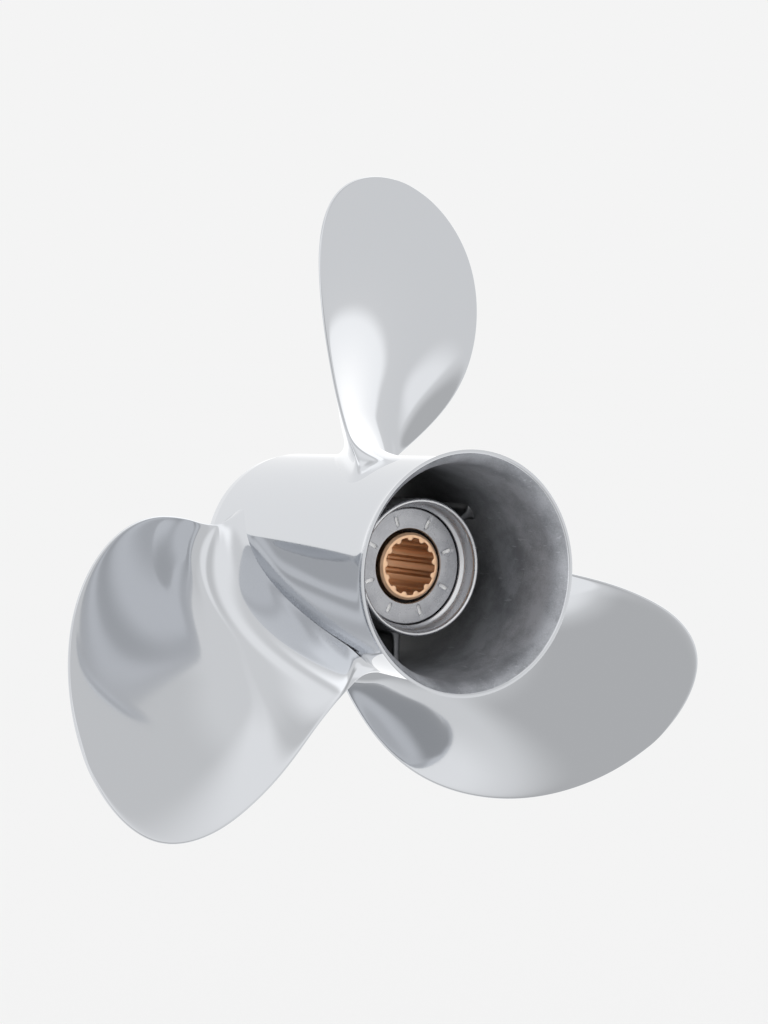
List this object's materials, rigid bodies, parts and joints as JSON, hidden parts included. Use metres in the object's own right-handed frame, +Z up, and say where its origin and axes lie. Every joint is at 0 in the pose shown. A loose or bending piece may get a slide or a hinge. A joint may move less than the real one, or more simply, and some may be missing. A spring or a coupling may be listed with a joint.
{
  "type": "outboard propeller",
  "caption": "Right-hand stainless outboard propeller: raked cupped blades on a through-hub exhaust barrel, with a rubber-cushioned splined brass sleeve.",
  "frame": {"origin": "on the shaft axis, at the front end of the spline sleeve, where the thrust washer bears", "axes": "+Y along the shaft, forward towards the boat; +Z up, through the blade that points straight up; +X to starboard"},
  "size_m": [0.2741, 0.139, 0.2518],
  "materials": {
    "polished_stainless": "mirror-polished stainless steel",
    "cast_stainless": "satin as-cast stainless steel",
    "turned_steel": "lathe-turned steel",
    "rubber": "black moulded rubber",
    "brass": "machined brass, slightly warm"
  },
  "bodies": {
    "shaft_sleeve": {"spline_sleeve": "brass"},
    "cushion": {"rubber_bushing": "rubber"},
    "wheel": {"outer_barrel": "polished_stainless", "blade_1": "polished_stainless", "blade_2": "polished_stainless", "blade_3": "polished_stainless", "inner_hub": "cast_stainless", "rib_1": "cast_stainless", "rib_2": "cast_stainless", "rib_3": "cast_stainless", "hub_end_ring": "turned_steel"}
  },
  "joints": [
    {"name": "cushion_twist", "type": "hinge", "parent": "shaft_sleeve", "child": "cushion", "pos_m": [0, -0.04, 0], "axis": [0, 1, 0], "range_deg": [-8, 8], "stiffness_Nm_per_rad": 860},
    {"name": "hub_slip", "type": "hinge", "parent": "cushion", "child": "wheel", "pos_m": [0, -0.04, 0], "axis": [0, 1, 0], "continuous": true}
  ]
}
